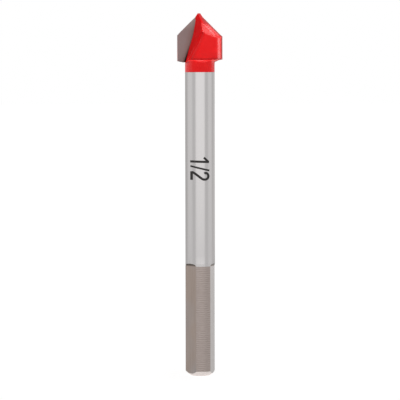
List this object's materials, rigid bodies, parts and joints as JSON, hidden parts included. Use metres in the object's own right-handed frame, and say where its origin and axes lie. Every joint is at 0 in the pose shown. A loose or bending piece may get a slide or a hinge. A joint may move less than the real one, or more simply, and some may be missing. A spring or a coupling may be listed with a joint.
{
  "type": "glass and tile drill bit",
  "caption": "Spear-point drill bit for glass and tile: an arrow-shaped carbide head in red paint, brazed onto a round steel shank whose end has ground drive flats for a chuck.",
  "frame": {"origin": "centre of the flat end face of the shank, on the bit's axis", "axes": "+Z runs along the axis from the shank end up to the point, +X runs across the blade to the wing on the right in the picture, and the front of the picture is -Y"},
  "size_m": [0.0126, 0.0084, 0.1016],
  "materials": {
    "steel": "satin bright finish, dull turned lands and ground flats at the drive end",
    "red_paint": "gloss red paint over carbide, with the two cutting faces ground bare and grey"
  },
  "bodies": {
    "root": {"shank": "steel", "carbide_tip": "red_paint"}
  },
  "joints": []
}
